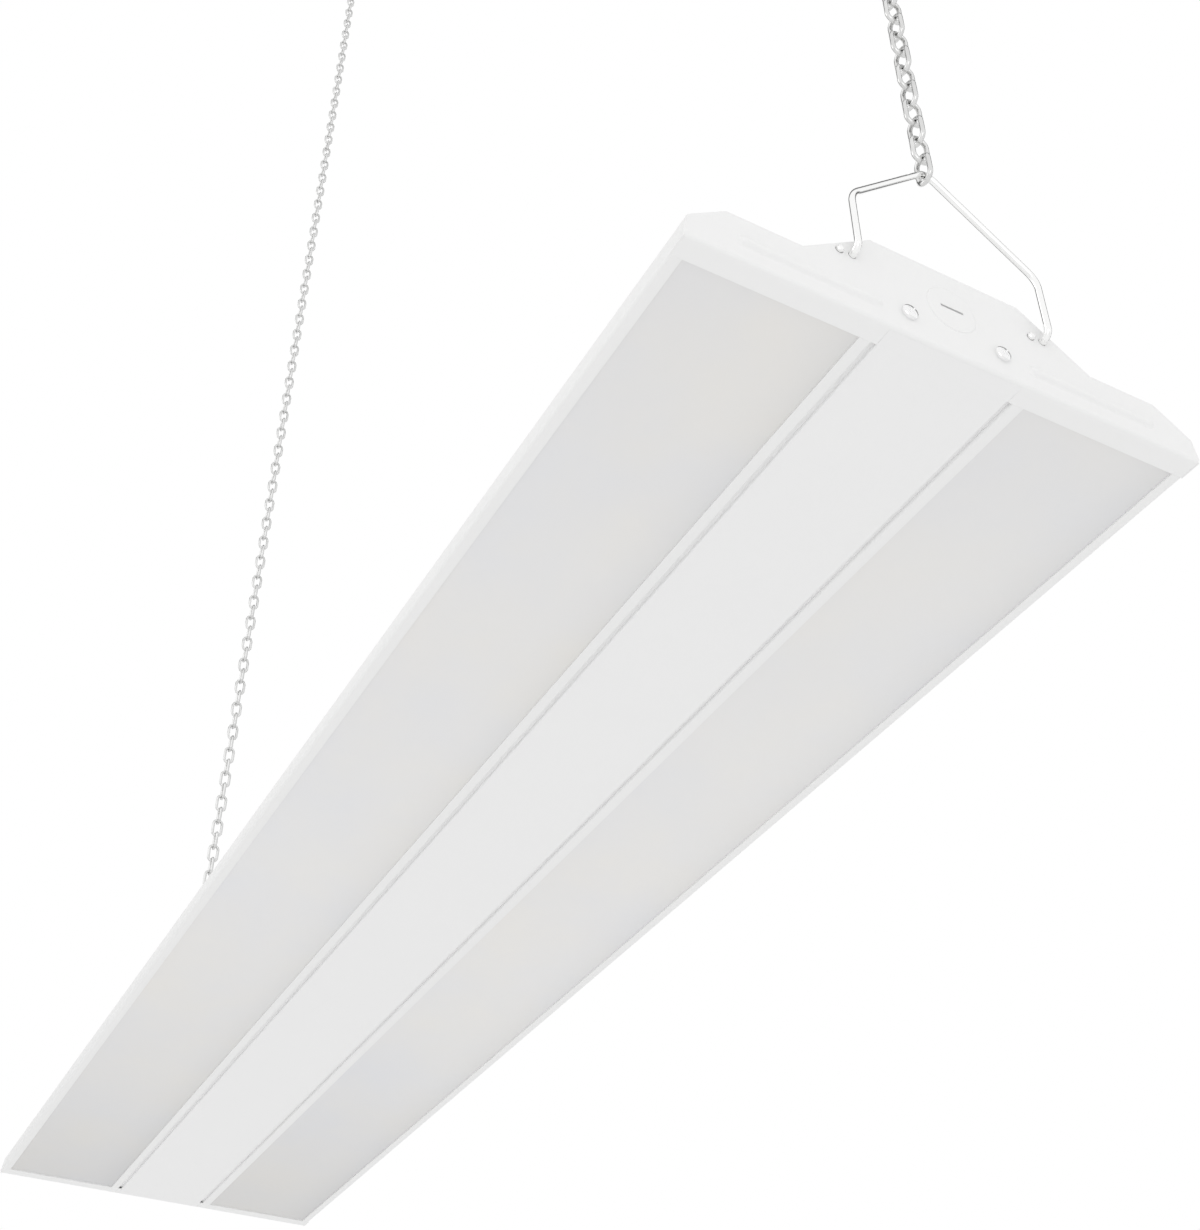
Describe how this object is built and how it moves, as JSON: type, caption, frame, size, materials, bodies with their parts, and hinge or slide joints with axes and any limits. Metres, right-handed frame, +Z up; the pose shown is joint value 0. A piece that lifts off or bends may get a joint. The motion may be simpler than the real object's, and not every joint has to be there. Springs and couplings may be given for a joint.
{
  "type": "hanging shop light",
  "caption": "Linear shop light: stepped white steel housing, recessed frosted diffusers, wire V-hooks and long chains to ceiling hooks.",
  "frame": {"origin": "on the ceiling plane, midway between the shanks of the two ceiling hooks", "axes": "+X to the near end of the light along its length, +Y across it, +Z up into the ceiling"},
  "size_m": [1.2226, 0.29, 2.1105],
  "materials": {
    "housing_paint": "white powder-coated sheet steel, satin",
    "plate_paint": "white powder-coated sheet steel, satin",
    "cover_paint": "white powder-coated sheet steel, satin",
    "tray_paint": "white powder-coated sheet steel, satin",
    "diffuser": "frosted translucent acrylic",
    "board": "white solder mask on an aluminium-backed board",
    "led": "yellow phosphor in a white package",
    "screw_steel": "zinc-plated steel",
    "ground_green": "green-dyed zinc-plated steel",
    "rivet_metal": "plain aluminium",
    "driver_case": "pale painted aluminium case",
    "terminal_plastic": "natural nylon",
    "plug_plastic": "natural nylon",
    "lead_sleeve": "plastic-sleeved copper wire",
    "grommet_rubber": "black rubber",
    "v_hook_wire": "bright nickel-plated steel wire",
    "chain_steel": "bright nickel-plated steel wire links",
    "hook_steel": "zinc-plated steel wire"
  },
  "bodies": {
    "root": {"near_ceiling_hook": "hook_steel", "far_ceiling_hook": "hook_steel"},
    "housing": {"housing": "housing_paint", "driver_cover": "cover_paint", "board_screws": "screw_steel", "tray_rivets": "rivet_metal", "driver": "driver_case", "driver_screws": "screw_steel", "terminal_block": "terminal_plastic", "ground_screw": "ground_green", "supply_leads": "lead_sleeve", "near_end_plate": "plate_paint", "far_end_plate": "plate_paint", "near_knockout": "plate_paint", "far_knockout": "plate_paint", "near_end_screws": "screw_steel", "far_end_screws": "screw_steel", "left_tray": "tray_paint", "left_lens": "diffuser", "left_boards": "board", "left_leds": "led", "left_output_lead": "lead_sleeve", "left_plug": "plug_plastic", "left_grommet": "grommet_rubber", "right_tray": "tray_paint", "right_lens": "diffuser", "right_boards": "board", "right_leds": "led", "right_output_lead": "lead_sleeve", "right_plug": "plug_plastic", "right_grommet": "grommet_rubber"},
    "near_top_link": {"near_top_link": "chain_steel"},
    "near_chain": {"near_chain": "chain_steel", "near_second_link": "chain_steel", "near_bottom_link": "chain_steel", "near_v_hook": "v_hook_wire"},
    "far_top_link": {"far_top_link": "chain_steel"},
    "far_chain": {"far_chain": "chain_steel", "far_second_link": "chain_steel", "far_bottom_link": "chain_steel", "far_v_hook": "v_hook_wire"}
  },
  "joints": [
    {"name": "side_sway", "type": "hinge", "parent": "root", "child": "near_top_link", "pos_m": [0.5996, 0, -0.0385], "axis": [1, 0, 0], "range_deg": [-20, 20]},
    {"name": "end_swing", "type": "hinge", "parent": "near_top_link", "child": "near_chain", "pos_m": [0.5996, 0, -0.0534], "axis": [0, 1, 0], "range_deg": [-8, 8]},
    {"name": "near_hook_in_plate", "type": "hinge", "parent": "near_chain", "child": "housing", "pos_m": [0.5996, 0, -2.0425], "axis": [0, 1, 0], "range_deg": [-8, 8]},
    {"name": "far_hook_in_plate", "type": "hinge", "parent": "housing", "child": "far_chain", "pos_m": [-0.5996, 0, -2.0425], "axis": [0, 1, 0], "range_deg": [-8, 8]},
    {"name": "far_top_link_turn", "type": "hinge", "parent": "far_chain", "child": "far_top_link", "pos_m": [-0.5996, 0, -0.0534], "axis": [0, 1, 0], "range_deg": [-8, 8]}
  ],
  "couplings": [
    {"joint": "near_hook_in_plate", "follows": "end_swing", "ratio": -1},
    {"joint": "far_hook_in_plate", "follows": "end_swing", "ratio": 1},
    {"joint": "far_top_link_turn", "follows": "end_swing", "ratio": -1}
  ]
}
